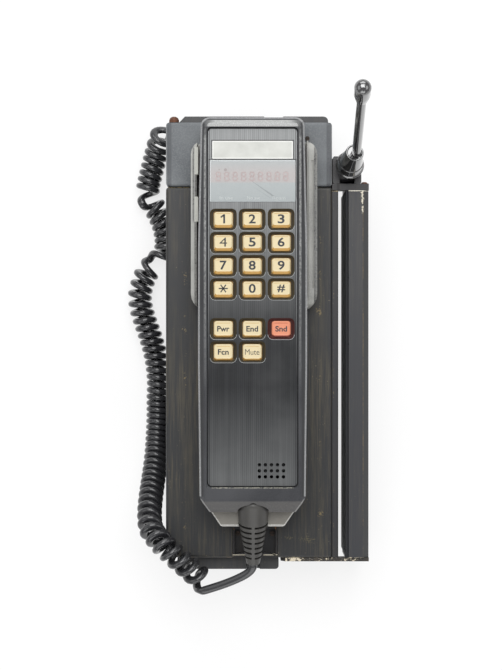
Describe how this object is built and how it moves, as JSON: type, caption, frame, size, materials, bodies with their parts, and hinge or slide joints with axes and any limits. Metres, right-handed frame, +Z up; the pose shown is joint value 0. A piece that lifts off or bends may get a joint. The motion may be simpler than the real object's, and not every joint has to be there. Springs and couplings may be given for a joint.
{
  "type": "cellular bag phone",
  "caption": "Bag phone transceiver lying on its back with a keypad handset in a cradle, a slide-off battery pack, a tilting aerial and a curly cord.",
  "frame": {"origin": "on the flat underside the phone lies on, at the middle of the front cover's width and of the body's length", "axes": "+X to the right of the face, +Y towards the head end where the aerial is, +Z up out of the face"},
  "size_m": [0.1315, 0.2606, 0.1636],
  "materials": {
    "rear_plate": "satin",
    "chassis": "matte",
    "board": "satin",
    "tinned_steel": "satin",
    "contact_plastic": "matte",
    "cover_paint": "satin",
    "cap_plastic": "matte",
    "rail_paint": "satin",
    "brass": "satin",
    "copper": "satin",
    "cradle_plastic": "matte",
    "pad": "matte",
    "pin_steel": "satin",
    "aerial_plastic": "gloss",
    "rubber": "satin",
    "pack_plastic": "satin",
    "pack_cells": "satin",
    "foot_plate": "satin",
    "handset_plastic": "matte",
    "fascia_plastic": "satin",
    "label": "satin",
    "window": "gloss",
    "display": "satin",
    "mat_rubber": "matte",
    "driver_plastic": "matte",
    "key_cream": "satin",
    "key_salmon": "satin"
  },
  "bodies": {
    "transceiver": {"rear_plate": "rear_plate", "chassis": "chassis", "main_board": "board", "shield_cans": "tinned_steel", "power_socket": "contact_plastic", "front_cover": "cover_paint", "top_cap": "cap_plastic", "side_rail": "rail_paint", "brass_screws": "brass", "copper_studs": "copper", "cord_guide": "rail_paint", "cradle": "cradle_plastic", "cradle_pads": "pad", "aerial_bracket": "rail_paint", "contact_pins": "brass", "aerial_mount": "cap_plastic", "aerial_pin": "pin_steel", "cord_gland": "rubber", "cord_coil": "rubber", "cord_lead": "rubber"},
    "battery": {"battery_back": "pack_plastic", "battery_case": "pack_plastic", "battery_cells": "pack_cells", "battery_foot_plate": "foot_plate"},
    "aerial": {"aerial_knuckle": "aerial_plastic", "aerial_barrel": "aerial_plastic", "aerial_whip": "aerial_plastic", "aerial_tip": "aerial_plastic"},
    "handset": {"handset_front": "handset_plastic", "handset_rear": "handset_plastic", "fascia": "fascia_plastic", "label_plate": "label", "display_window": "window", "display_board": "display", "key_mat": "mat_rubber", "keypad_board": "board", "earpiece": "driver_plastic", "mouthpiece": "driver_plastic", "ringer": "driver_plastic", "strain_relief": "rubber", "handset_screws": "tinned_steel"},
    "key_1": {"key_1": "key_cream"},
    "key_2": {"key_2": "key_cream"},
    "key_3": {"key_3": "key_cream"},
    "key_4": {"key_4": "key_cream"},
    "key_5": {"key_5": "key_cream"},
    "key_6": {"key_6": "key_cream"},
    "key_7": {"key_7": "key_cream"},
    "key_8": {"key_8": "key_cream"},
    "key_9": {"key_9": "key_cream"},
    "key_star": {"key_star": "key_cream"},
    "key_0": {"key_0": "key_cream"},
    "key_hash": {"key_hash": "key_cream"},
    "key_power": {"key_power": "key_cream"},
    "key_end": {"key_end": "key_cream"},
    "key_send": {"key_send": "key_salmon"},
    "key_function": {"key_function": "key_cream"},
    "key_mute": {"key_mute": "key_cream"}
  },
  "joints": [
    {"name": "handset_lift", "type": "slide", "parent": "transceiver", "child": "handset", "axis": [0, 0, 1], "range_m": [0, 0.08]},
    {"name": "battery_slide", "type": "slide", "parent": "transceiver", "child": "battery", "axis": [0, -1, 0], "range_m": [0, 0.05]},
    {"name": "aerial_tilt", "type": "hinge", "parent": "transceiver", "child": "aerial", "pos_m": [0.05255, 0.0888, 0.048], "axis": [1, 0, 0], "range_deg": [-70, 28]},
    {"name": "key_1_press", "type": "slide", "parent": "handset", "child": "key_1", "axis": [0, 0, -1], "range_m": [0, 0.001], "stiffness_N_per_m": 300},
    {"name": "key_2_press", "type": "slide", "parent": "handset", "child": "key_2", "axis": [0, 0, -1], "range_m": [0, 0.001], "stiffness_N_per_m": 300},
    {"name": "key_3_press", "type": "slide", "parent": "handset", "child": "key_3", "axis": [0, 0, -1], "range_m": [0, 0.001], "stiffness_N_per_m": 300},
    {"name": "key_4_press", "type": "slide", "parent": "handset", "child": "key_4", "axis": [0, 0, -1], "range_m": [0, 0.001], "stiffness_N_per_m": 300},
    {"name": "key_5_press", "type": "slide", "parent": "handset", "child": "key_5", "axis": [0, 0, -1], "range_m": [0, 0.001], "stiffness_N_per_m": 300},
    {"name": "key_6_press", "type": "slide", "parent": "handset", "child": "key_6", "axis": [0, 0, -1], "range_m": [0, 0.001], "stiffness_N_per_m": 300},
    {"name": "key_7_press", "type": "slide", "parent": "handset", "child": "key_7", "axis": [0, 0, -1], "range_m": [0, 0.001], "stiffness_N_per_m": 300},
    {"name": "key_8_press", "type": "slide", "parent": "handset", "child": "key_8", "axis": [0, 0, -1], "range_m": [0, 0.001], "stiffness_N_per_m": 300},
    {"name": "key_9_press", "type": "slide", "parent": "handset", "child": "key_9", "axis": [0, 0, -1], "range_m": [0, 0.001], "stiffness_N_per_m": 300},
    {"name": "key_star_press", "type": "slide", "parent": "handset", "child": "key_star", "axis": [0, 0, -1], "range_m": [0, 0.001], "stiffness_N_per_m": 300},
    {"name": "key_0_press", "type": "slide", "parent": "handset", "child": "key_0", "axis": [0, 0, -1], "range_m": [0, 0.001], "stiffness_N_per_m": 300},
    {"name": "key_hash_press", "type": "slide", "parent": "handset", "child": "key_hash", "axis": [0, 0, -1], "range_m": [0, 0.001], "stiffness_N_per_m": 300},
    {"name": "key_power_press", "type": "slide", "parent": "handset", "child": "key_power", "axis": [0, 0, -1], "range_m": [0, 0.001], "stiffness_N_per_m": 300},
    {"name": "key_end_press", "type": "slide", "parent": "handset", "child": "key_end", "axis": [0, 0, -1], "range_m": [0, 0.001], "stiffness_N_per_m": 300},
    {"name": "key_send_press", "type": "slide", "parent": "handset", "child": "key_send", "axis": [0, 0, -1], "range_m": [0, 0.001], "stiffness_N_per_m": 300},
    {"name": "key_function_press", "type": "slide", "parent": "handset", "child": "key_function", "axis": [0, 0, -1], "range_m": [0, 0.001], "stiffness_N_per_m": 300},
    {"name": "key_mute_press", "type": "slide", "parent": "handset", "child": "key_mute", "axis": [0, 0, -1], "range_m": [0, 0.001], "stiffness_N_per_m": 300}
  ]
}
